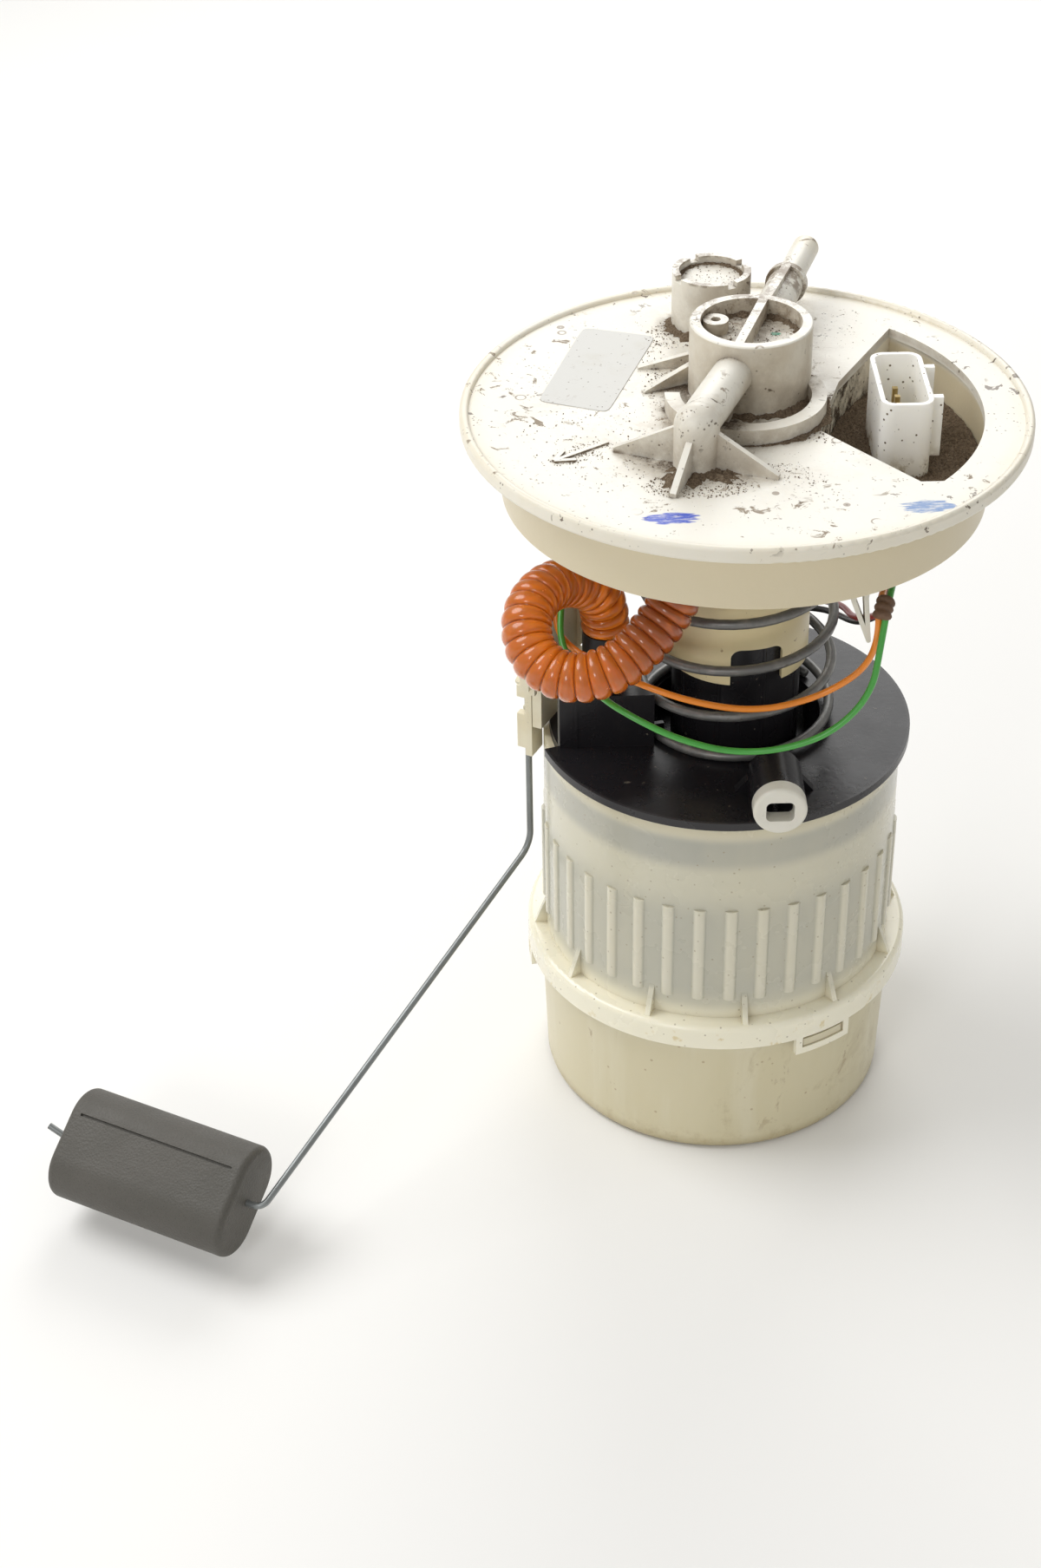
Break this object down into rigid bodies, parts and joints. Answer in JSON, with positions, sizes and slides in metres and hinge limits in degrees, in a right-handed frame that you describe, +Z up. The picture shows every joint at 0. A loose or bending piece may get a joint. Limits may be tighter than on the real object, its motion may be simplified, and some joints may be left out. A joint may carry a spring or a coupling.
{
  "type": "in-tank fuel pump module",
  "caption": "In-tank fuel pump module: round flange with outlet stub and socket on a sprung sleeve above a ribbed reservoir, with a float arm level sender.",
  "frame": {"origin": "centre of the reservoir's foot, on the face that stands on the tank floor", "axes": "+Z up through the flange, +Y away from the side with the relief elbow, float arm towards -X and -Y"},
  "size_m": [0.2899, 0.1906, 0.25],
  "materials": {
    "ivory_plastic": "satin",
    "cream_plastic": "satin",
    "white_plastic": "satin",
    "housing_plastic": "gloss",
    "cup_plastic": "satin",
    "black_plastic": "satin",
    "sender_plastic": "satin",
    "spring_steel": "satin",
    "zinc_wire": "satin",
    "hose_plastic": "gloss",
    "orange_insulation": "gloss",
    "green_insulation": "gloss",
    "red_insulation": "gloss",
    "black_insulation": "gloss",
    "seal_rubber": "matte",
    "float_foam": "matte",
    "filter_paper": "matte",
    "strainer_mesh": "matte",
    "can_steel": "satin",
    "pump_plastic": "satin",
    "core_steel": "satin",
    "copper": "satin",
    "ferrite": "matte",
    "brush_carbon": "matte",
    "valve_brass": "satin",
    "rollover_plastic": "matte",
    "contact_metal": "satin",
    "card_ceramic": "satin"
  },
  "bodies": {
    "reservoir": {"reservoir_cup": "cup_plastic", "inlet_valve": "seal_rubber", "jet_pump": "white_plastic", "suction_strainer": "strainer_mesh", "filter_housing": "housing_plastic", "filter_well": "housing_plastic", "filter_element": "filter_paper", "reservoir_lid": "black_plastic", "lid_well": "black_plastic", "guide_tower": "black_plastic", "hose_block": "black_plastic", "relief_elbow": "black_plastic", "lid_seal": "seal_rubber", "elbow_plug": "white_plastic", "pump_can": "can_steel", "pump_inlet_cover": "pump_plastic", "pump_bearing_plate": "pump_plastic", "pump_outlet_cover": "pump_plastic", "pump_magnets": "ferrite", "pump_brushes": "brush_carbon", "pump_isolator": "seal_rubber", "check_valve_spring": "spring_steel", "pump_plug": "black_plastic", "sender_housing": "sender_plastic", "sender_card": "card_ceramic", "sender_terminals": "contact_metal", "guide_spring": "spring_steel", "outlet_hose": "hose_plastic", "orange_wire": "orange_insulation", "green_wire": "green_insulation", "red_wire": "red_insulation", "black_wire": "black_insulation"},
    "rotor": {"pump_armature": "core_steel", "pump_commutator": "copper", "pump_impeller": "pump_plastic"},
    "check_valve": {"check_valve_poppet": "valve_brass"},
    "float_arm_set": {"wire_holder": "sender_plastic", "float_wire": "zinc_wire", "wiper_contact": "contact_metal"},
    "float_body": {"float": "float_foam"},
    "flange": {"flange_plate": "ivory_plastic", "flange_skirt": "ivory_plastic", "flange_pocket": "ivory_plastic", "spring_cup": "ivory_plastic", "port_cup": "ivory_plastic", "riser_pipe": "ivory_plastic", "outlet_pipe": "ivory_plastic", "rear_cup": "ivory_plastic", "cup_ridge": "ivory_plastic", "connector_housing": "white_plastic", "connector_pins": "contact_metal", "guide_sleeve": "cream_plastic", "regulator_cartridge": "can_steel", "regulator_clip": "spring_steel", "rollover_valve_body": "ivory_plastic", "harness_clip": "white_plastic", "harness_plug": "white_plastic"},
    "rollover_piece": {"rollover_float": "rollover_plastic"}
  },
  "joints": [
    {"name": "flange_slide", "type": "slide", "parent": "reservoir", "child": "flange", "axis": [0, 0, 1], "range_m": [-0.03, 0], "stiffness_N_per_m": 800, "springref_m": 0.012, "deforming": ["guide_spring", "outlet_hose", "orange_wire", "green_wire", "red_wire", "black_wire"]},
    {"name": "float_arm", "type": "hinge", "parent": "reservoir", "child": "float_arm_set", "pos_m": [-0.058, 0, 0.147], "axis": [-0.887, 0.4617, 0], "range_deg": [0, 60]},
    {"name": "float_spin", "type": "hinge", "parent": "float_arm_set", "child": "float_body", "pos_m": [-0.17064, -0.08082, 0.022], "axis": [-0.887, 0.4617, 0], "continuous": true},
    {"name": "pump_spin", "type": "hinge", "parent": "reservoir", "child": "rotor", "pos_m": [0.004, 0.0025, 0.05], "axis": [0, 0, 1], "continuous": true},
    {"name": "check_valve_lift", "type": "slide", "parent": "reservoir", "child": "check_valve", "axis": [0, 0, 1], "range_m": [0, 0.0015], "stiffness_N_per_m": 150, "springref_m": -0.004, "deforming": ["check_valve_spring"]},
    {"name": "rollover_lift", "type": "slide", "parent": "flange", "child": "rollover_piece", "axis": [0, 0, 1], "range_m": [0, 0.003]}
  ]
}
